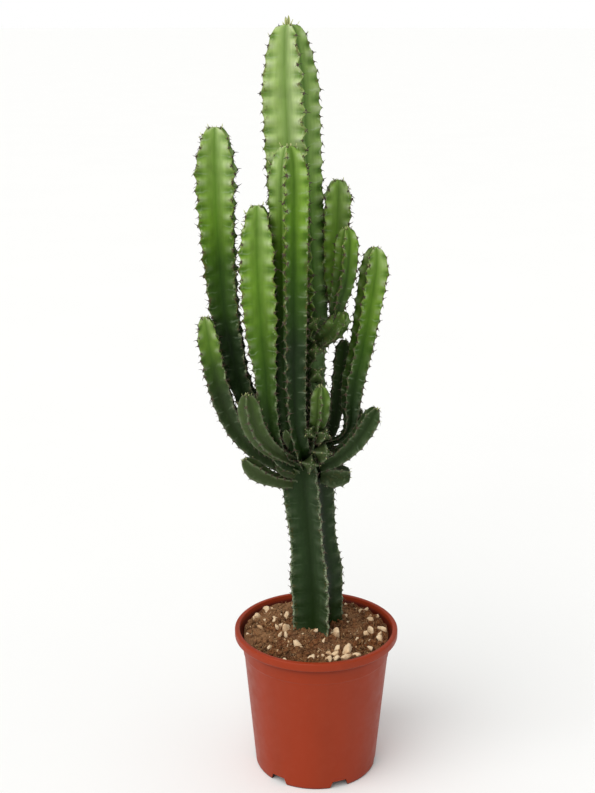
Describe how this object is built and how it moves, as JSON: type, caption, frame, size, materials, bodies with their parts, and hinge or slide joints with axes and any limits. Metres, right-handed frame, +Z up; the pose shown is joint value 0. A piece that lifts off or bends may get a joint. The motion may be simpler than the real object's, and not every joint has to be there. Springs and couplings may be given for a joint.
{
  "type": "potted euphorbia",
  "caption": "Four-ribbed candelabra euphorbia with upright side branches and dark spine pairs, standing in a round plastic nursery pot of soil.",
  "frame": {"origin": "on the surface that the pot stands on, under the middle of the whole plant's box", "axes": "+Z up along the plant's height, the longest extent; -Y towards the viewer of the front; +X to the viewer's right"},
  "size_m": [0.2062, 0.17, 0.7687],
  "materials": {
    "pot_plastic": "thin moulded plastic, terracotta red-brown, semi-matte with a soft sheen on the rim",
    "potting_mix": "brown fibrous potting mix with pale beige pumice grains, dry and matte",
    "main_stem_skin": "waxy succulent skin, dark green at the foot and pale yellow-green at the tip, corky grey crest lines, dark brown spines",
    "branch_skin": "waxy succulent skin, bright green with pale tips and dark brown spine pairs",
    "shaded_branch_skin": "waxy succulent skin, grey-green, with dark brown spine pairs"
  },
  "bodies": {
    "root": {"pot": "pot_plastic", "soil": "potting_mix", "stem_main": "main_stem_skin", "branch_left_front": "branch_skin", "branch_front": "branch_skin", "branch_left_tall": "branch_skin", "branch_left_long": "branch_skin", "branch_front_left_short": "shaded_branch_skin", "branch_left_lowest": "shaded_branch_skin", "branch_right_upper": "branch_skin", "branch_right_mid": "branch_skin", "branch_right_tall": "branch_skin", "branch_right_back": "shaded_branch_skin", "branch_right_low": "shaded_branch_skin", "branch_front_right_short": "shaded_branch_skin", "branch_back_tall": "branch_skin", "branch_back_short": "shaded_branch_skin"}
  },
  "joints": []
}
